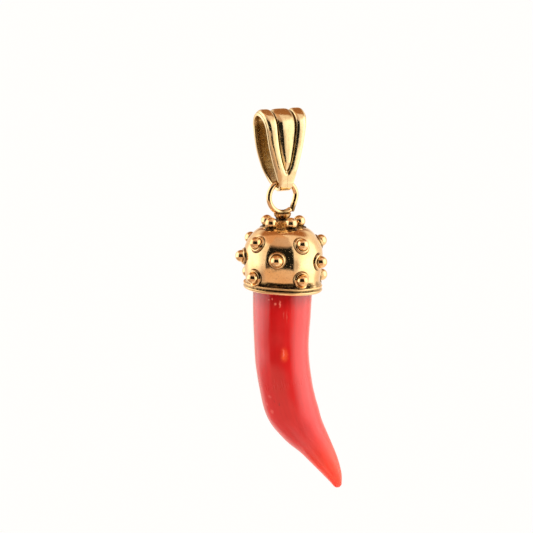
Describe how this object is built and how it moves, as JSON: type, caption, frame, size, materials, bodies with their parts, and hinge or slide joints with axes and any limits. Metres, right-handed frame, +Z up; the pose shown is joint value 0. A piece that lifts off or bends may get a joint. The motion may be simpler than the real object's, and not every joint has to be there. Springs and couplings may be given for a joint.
{
  "type": "cornicello horn pendant",
  "caption": "Curved red coral horn charm in a studded gold cap, hung by a ring from a ribbed gold bail that a neck chain runs through.",
  "frame": {"origin": "inside top of the bail's loop, where a chain bears", "axes": "+Z up; -Y is the front, the bail's ribbed side; +X is the wearer's left, the side that the horn curves toward, and the chain runs along X"},
  "size_m": [0.0139, 0.0119, 0.0485],
  "materials": {
    "gold_bail": "polished yellow gold, with soft wear on the ribs",
    "gold_cap": "polished yellow gold, darker in the corners and round the studs",
    "coral": "polished translucent red coral, with fine growth lines"
  },
  "bodies": {
    "bail": {"bail": "gold_bail"},
    "drop": {"cap": "gold_cap", "horn": "coral"}
  },
  "joints": [
    {"name": "drop_swing", "type": "hinge", "parent": "bail", "child": "drop", "pos_m": [0, -0.0008, -0.0083], "axis": [1, 0, 0], "range_deg": [-90, 90]}
  ]
}
